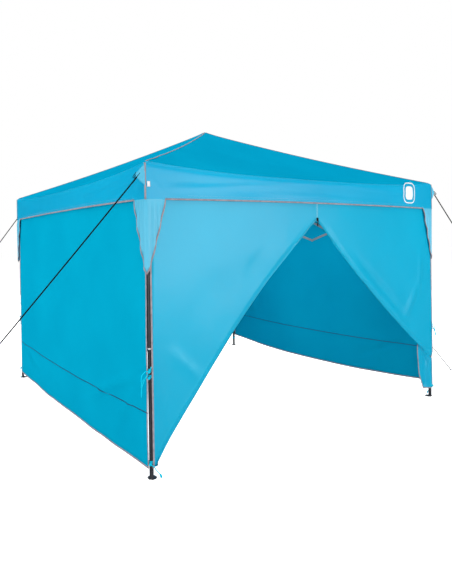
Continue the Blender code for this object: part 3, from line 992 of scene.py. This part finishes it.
APEX = (0.0, 1.622)
LEFT_FOLD = (APEX, (-0.95, 0.80), (-1.450, 0.075))
RIGHT_FOLD = (APEX, (0.66, 0.945), (WALL_DOOR_END, 0.352))
LEFT_FREE = (APEX, (-1.36, 0.86), (-1.40, 0.45), (-1.436, 0.078))
RIGHT_FREE = (APEX, (1.37, 0.95), (1.305, 0.44), (1.325, 0.22), (1.385, 0.088), (1.465, 0.082))
# The front wall's cloth is not a measured cut. The halves modelled here hold about 3.76 square metres,
# and a full rectangle between the legs would be 5.40.
ZIP_WIDTH = 0.022
ZIP_DEPTH = 0.0016
TEETH = {"pitch": 0.0045, "length": 0.0025, "size": 0.0045}
ZIP_ROWS = 10
FOLD_ROWS = 56
FRONT_COLUMNS = 44
BACK_COLUMNS = 26
FOLD_DEPTH = 0.030
PAST_LEG = 0.036  # a layer stays outside the leg until it has passed it


def bezier(points, share):
    one, two, three = (Vector(p) for p in points)
    return one.lerp(two, share).lerp(two.lerp(three, share), share)


def along_path(points, share):
    """A point that share of the way along the straight runs between the points."""
    points = [Vector(p) for p in points]
    lengths = [(two - one).length for one, two in zip(points, points[1:])]
    left = share * sum(lengths)
    for (one, two), length in zip(zip(points, points[1:]), lengths):
        if left <= length:
            return one.lerp(two, left / length)
        left -= length
    return points[-1]


def gather(x, z, tie, sign):
    """Pleats that run together at the tie."""
    dx, dz = x - tie[0], z - tie[1]
    away = math.hypot(dx, dz)
    return 0.010 * math.sin(13 * math.atan2(dz, -sign * dx)) * smooth_step(1.2, 0.1, away)


def door_half(pieces, sign, fold, free, foot_z, tie):
    """One half of the front wall: the hanging layer from its leg to the zip and the fold, and the layer
    behind it, from the fold back to the free edge. Returns the rows of both."""
    leg_x = WALL_DOOR_START if sign < 0 else WALL_DOOR_END
    fold_points = [bezier(fold, i / FOLD_ROWS) for i in range(FOLD_ROWS + 1)]
    centre = [Vector((0, WALL_TOP_Z + (APEX[1] - WALL_TOP_Z) * i / ZIP_ROWS)) for i in range(ZIP_ROWS)]
    centre += fold_points
    lengths = [0.0]
    for one, two in zip(centre, centre[1:]):
        lengths.append(lengths[-1] + (two - one).length)
    front_rows = []
    for point, length in zip(centre, lengths):
        leg_z = WALL_TOP_Z + (foot_z - WALL_TOP_Z) * length / lengths[-1]
        row = []
        for k in range(FRONT_COLUMNS + 1):
            share = k / FRONT_COLUMNS
            x = leg_x + (point.x - leg_x) * share
            z = leg_z + (point.y - leg_z) * share
            row.append(wall_point("front", x, z, fold_back(x, z, point, sign)))
        front_rows.append(row)
    pieces.grid(front_rows)
    back_rows = []
    fold_end = fold_points[-1].y
    tail = [Vector((leg_x, fold_end + (free[-1][1] - fold_end) * i / 8)) for i in range(1, 9)]
    hinge = fold_points + (tail if sign > 0 else [])
    for i, point in enumerate(hinge):
        target = along_path(free, i / (len(hinge) - 1))
        row = []
        for k in range(BACK_COLUMNS + 1):
            share = k / BACK_COLUMNS
            x = point.x + (target.x - point.x) * share
            z = point.y + (target.y - point.y) * share
            from_fold = (Vector((x, z)) - point).length
            start = PAST_LEG if sign * x > LEG_AXIS - PAST_LEG or i >= len(fold_points) else 0.0
            depth = FOLD_DEPTH * smooth_step(start, start + 0.05, from_fold)
            depth += gather(x, z, tie, sign) * smooth_step(start + 0.02, start + 0.10, from_fold)
            base = wall_out("front", x, z) * 0.5 + wall_out("front", point.x, point.y) * 0.5
            here = Vector((x, WALL_Y - base + depth + 0.006, z))
            if from_fold < 1e-6 and i < len(fold_points):
                here = wall_point("front", x, z, fold_back(x, z, point, sign))
            row.append(here)
        back_rows.append(row)
    pieces.grid(back_rows)
    return front_rows, back_rows


def fold_back(x, z, fold_point, sign):
    """The front layer rounds inwards over the last few centimetres before the fold."""
    if fold_point.y > APEX[1] - 1e-6:
        return 0.0
    away = abs(fold_point.x - x)
    reach = smooth_step(0.0, 0.10, APEX[1] - fold_point.y)
    return 0.012 * reach * smooth_step(0.05, 0.0, away)


def front_wall():
    pieces = Pieces()
    left_front, left_back = door_half(pieces, -1, LEFT_FOLD, LEFT_FREE, 0.068, (-1.36, 0.86))
    right_front, right_back = door_half(pieces, 1, RIGHT_FOLD, RIGHT_FREE, 0.362, (1.37, 0.95))
    bmesh.ops.remove_doubles(pieces.bm, verts=pieces.bm.verts, dist=WELD)
    bmesh.ops.recalc_face_normals(pieces.bm, faces=pieces.bm.faces)
    sheet = pieces.object("wall_front_sheet", WALL_CLOTH)
    facing = Vector((0, -1, 0))
    tape = Pieces()
    tape.strip([row[0] for row in left_front], facing, BINDING_WIDTH, BINDING_DEPTH)
    right_edge = [row[0] for row in right_front] + [row[0] for row in right_back[FOLD_ROWS + 1 :]]
    tape.strip(right_edge, facing, BINDING_WIDTH, BINDING_DEPTH)
    hem_from = int(FOLD_ROWS * 0.72)
    tape.strip([row[-1] for row in left_back[hem_from:]], facing, BINDING_WIDTH, BINDING_DEPTH)
    right_hem = int(len(right_back) * 0.66)
    tape.strip([row[-1] for row in right_back[right_hem:]], facing, BINDING_WIDTH, BINDING_DEPTH)
    binding = tape.object("wall_front_binding", BINDING)
    zip_line = Pieces()
    teeth = Pieces()
    top = [wall_point("front", 0.0, 1.80 - 0.19 * i / 10) + facing * 0.0012 for i in range(11)]
    zip_line.strip(top, facing, ZIP_WIDTH, ZIP_DEPTH)
    teeth.stitches([p + facing * 0.0012 for p in top], facing, **TEETH)
    for rows in (left_back, right_back):
        edge = [row[-1] for row in rows[:hem_from]]
        zip_line.strip(edge, facing, ZIP_WIDTH, ZIP_DEPTH)
        teeth.stitches([p + facing * 0.0012 for p in edge], facing, **TEETH)
    near_apex = [row[-1] for row in left_front[ZIP_ROWS : ZIP_ROWS + 8]]
    side_step = Vector((-0.010, -0.001, 0.004))
    teeth.stitches([p + side_step for p in near_apex], facing, pitch=0.009, length=0.006, size=0.002)
    zip_tape = zip_line.object("door_zip_tape", ZIP_CLOTH)
    zip_teeth = teeth.object("door_zip_teeth", THREAD)
    puller = Pieces()
    apex = wall_point("front", *APEX)
    puller.box(apex + Vector((-0.009, -0.009, -0.012)), apex + Vector((0.009, -0.001, 0.014)), bevel=0.002)
    pull_tab = ((0.0, -0.010, 0.004), (-0.003, -0.013, -0.012), (-0.010, -0.012, -0.050))
    puller.strip([apex + Vector(p) for p in pull_tab], facing, 0.010, 0.003)
    slider = puller.object("door_zip_slider", NYLON)
    finish_wall("front", sheet, [binding, zip_tape, zip_teeth, slider])


for side_name in SIDES[1:]:
    plain_wall(side_name)
front_wall()


# Ties: bright cords round the legs that hold the walls' edges

TIE_THICKNESS = 0.0058
TIE_TURNS = 3


def loops_round(pieces, centre, radius, z):
    points = []
    steps = 20 * TIE_TURNS
    for i in range(steps + 1):
        angle = 2 * math.pi * i / 20
        square = 1 / max(abs(math.cos(angle)), abs(math.sin(angle)))
        reach = radius * (0.35 + 0.65 * min(square, 1.25))
        rise = TIE_THICKNESS * 1.25 * i / 20
        points.append(centre + Vector((math.cos(angle) * reach, math.sin(angle) * reach, z + rise)))
    pieces.strip(points, (0, 0, 1), TIE_THICKNESS, TIE_THICKNESS, sides=6)


def tie(name, corner, z, ends, toggle_at=None):
    """A cord wound round the leg, with a knot and loose ends, which are given from the knot outwards at the
    first corner."""
    turn = quarter(CORNERS.index(corner))
    centre = Vector((-LEG_AXIS, -LEG_AXIS, 0))
    pieces = Pieces()
    loops_round(pieces, centre, INNER_TUBE / 2 + 0.004, z)
    knot = centre + Vector((-0.016, -0.017, z + 0.004))
    for end in ends:
        points = smooth_line([knot] + [knot + Vector(p) for p in end])
        pieces.strip(points, (0.3, 0.5, 0.8), TIE_THICKNESS, TIE_THICKNESS, sides=6)
    pieces.box(knot - Vector((0.009, 0.008, 0.008)), knot + Vector((0.008, 0.008, 0.009)), bevel=0.004)
    pieces.bm.transform(turn)
    cord = pieces.object(name, TIE_CYAN)
    parts = [cord]
    if toggle_at:
        lock = Pieces()
        top = Vector(toggle_at)
        lock.strip([top, top + Vector((0.006, -0.004, -0.022))], (0.5, 0.5, 0.2), 0.014, 0.010)
        lock.bm.transform(turn)
        parts.append(lock.object(f"{name}_toggle", TIE_CYAN))
    for part in parts:
        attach(part, f"leg_{corner}")


def smooth_line(points, per_run=8):
    """A smooth curve through the points."""
    points = [Vector(p) for p in points]
    padded = [points[0] * 2 - points[1], *points, points[-1] * 2 - points[-2]]
    line = []
    for a, b, c, d in zip(padded, padded[1:], padded[2:], padded[3:]):
        for i in range(per_run):
            t = i / per_run
            square = (2 * a - 5 * b + 4 * c - d) * t**2
            cube = (3 * b - a - 3 * c + d) * t**3
            line.append(0.5 * (2 * b + (c - a) * t + square + cube))
    line.append(points[-1])
    return line


LONG_END = ((-0.020, 0.004, -0.030), (-0.045, 0.010, -0.085), (-0.050, 0.012, -0.150))
SHORT_END = ((-0.018, 0.010, 0.004), (-0.040, 0.018, -0.020), (-0.046, 0.020, -0.055))
RISING_END = ((0.006, -0.008, 0.020), (0.010, -0.012, 0.034))
FOOT_END = ((0.020, -0.008, -0.016), (0.040, -0.012, -0.046), (0.060, -0.016, -0.068))
for corner_name in CORNERS:
    tie(f"tie_middle_{corner_name}", corner_name, 0.664, (LONG_END, SHORT_END, RISING_END))
    tie(f"tie_second_{corner_name}", corner_name, 0.626, (SHORT_END,))
    tie(f"tie_lower_{corner_name}", corner_name, 0.094, (FOOT_END,), toggle_at=(-1.428, -1.505, 0.030))


# Steel frame: finishes for the frame's own parts, and the bushes at the outer tubes' lower ends

def finish_node(name, material):
    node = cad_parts[name]
    node.data.materials.clear()
    node.data.materials.append(material)
    node.data.shade_smooth()
    node.data.set_sharp_from_angle(angle=math.radians(30))


for node_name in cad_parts:
    if node_name.startswith(("leg_outer", "leg_inner")):
        finish_node(node_name, PAINT)
    elif node_name.startswith(("truss", "roof_arm")):
        finish_node(node_name, BAR_PAINT)
    elif node_name.startswith(("slider", "centre_hub")):
        finish_node(node_name, NYLON)
    elif node_name.startswith(("leg_lock", "centre_mast")):
        finish_node(node_name, ZINC)


def leg_bush(corner):
    """The pale ring at the lower end of the outer tube, round the inner one."""
    turns = CORNERS.index(corner)
    pieces = Pieces()
    half = OUTER_TUBE / 2 + 0.0025
    inner = INNER_TUBE / 2 + 0.0004
    rows = []
    edge = half - 0.001
    for reach, rise in ((inner, -0.004), (edge, -0.004), (half, -0.003), (half, 0.004), (edge, 0.005)):
        ring = []
        for k in range(32):
            angle = 2 * math.pi * (k + 0.5) / 32
            c, s = math.cos(angle), math.sin(angle)
            x = reach * math.copysign(min(1.0, abs(c) * 1.35), c)
            y = reach * math.copysign(min(1.0, abs(s) * 1.35), s)
            ring.append((x - LEG_AXIS, y - LEG_AXIS, OUTER_BOTTOM_Z - 0.001 + rise))
        rows.append(ring)
    pieces.grid(rows, close=True)
    pieces.turned(turns)
    bmesh.ops.recalc_face_normals(pieces.bm, faces=pieces.bm.faces)
    bush = pieces.object(f"leg_bush_{corner}", WHITE_NYLON)
    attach(bush, f"leg_{corner}")


for corner_name in CORNERS:
    leg_bush(corner_name)


# Floor and light

FLOOR_SHADE = 0.72
FLOOR_GLOW = 1.0  # keeps the floor as white as the backdrop; it adds no light to the gazebo


def floor():
    bm = bmesh.new()
    bmesh.ops.create_grid(bm, x_segments=1, y_segments=1, size=60.0)
    mesh = bpy.data.meshes.new("floor")
    bm.to_mesh(mesh)
    bm.free()
    made = placed("floor", mesh)
    made.location = (0, 0, -0.0005)
    pale = Shader("pale_floor", (FLOOR_SHADE,) * 3, 0.9, specular=0.0)
    pale.shader.inputs["Emission Color"].default_value = (1.0, 1.0, 1.0, 1.0)
    ray = pale.nodes.new("ShaderNodeLightPath").outputs
    glow = pale.math("MULTIPLY", ray["Is Camera Ray"], FLOOR_GLOW)
    pale.link(glow, pale.shader.inputs["Emission Strength"])
    not_glossy = pale.math("SUBTRACT", 1.0, ray["Is Glossy Ray"])
    pale.link(pale.math("MULTIPLY", not_glossy, FLOOR_SHADE), pale.shader.inputs["Base Color"])
    mesh.materials.append(pale.material)
    made.visible_glossy = False


def studio_light(name, at, target, width, height, power, glossy):
    data = bpy.data.lights.new(name, "AREA")
    data.shape = "RECTANGLE"
    data.size = width
    data.size_y = height
    data.energy = power
    made = placed(name, data)
    made.location = at
    made.rotation_mode = "QUATERNION"
    made.rotation_quaternion = (Vector(target) - Vector(at)).to_track_quat("-Z", "Y")
    made.visible_camera = False
    made.visible_glossy = glossy


def surroundings():
    """White behind everything. The light itself comes from the softboxes."""
    world = bpy.data.worlds.new("studio")
    world.use_nodes = True
    background = world.node_tree.nodes["Background"]
    background.inputs["Color"].default_value = (1.0, 1.0, 1.0, 1.0)
    background.inputs["Strength"].default_value = 1.0
    world.cycles_visibility.diffuse = False
    world.cycles_visibility.glossy = False
    bpy.context.scene.world = world


floor()
surroundings()
# Each light's name, place, target, width, height, watts, and whether the cloth's sheen shows it
LIGHTS = (
    ("key_softbox", (2.5, -7.6, 1.75), (-0.5, -1.5, 1.5), 5.2, 3.2, 148.0, True),
    ("ceiling", (0.0, 0.0, 9.0), (0.0, 0.0, 0.0), 14.0, 14.0, 1190.0, False),
    ("left_fill", (-10.0, 1.0, 3.5), (0.0, 0.0, 1.0), 10.0, 7.0, 640.0, False),
    ("right_fill", (10.0, 1.0, 3.5), (0.0, 0.0, 1.0), 10.0, 7.0, 560.0, False),
    ("back_fill", (0.0, 10.0, 3.5), (0.0, 0.0, 1.0), 10.0, 7.0, 560.0, False),
    ("front_fill", (-3.0, -10.0, 3.5), (-0.5, 0.0, 1.0), 10.0, 7.0, 430.0, False),
    ("inside_fill", (0.0, 0.0, 1.85), (0.0, 0.0, 0.0), 2.2, 2.2, 34.0, False),
)
for light in LIGHTS:
    studio_light(*light)
bpy.context.scene.view_settings.view_transform = "Standard"
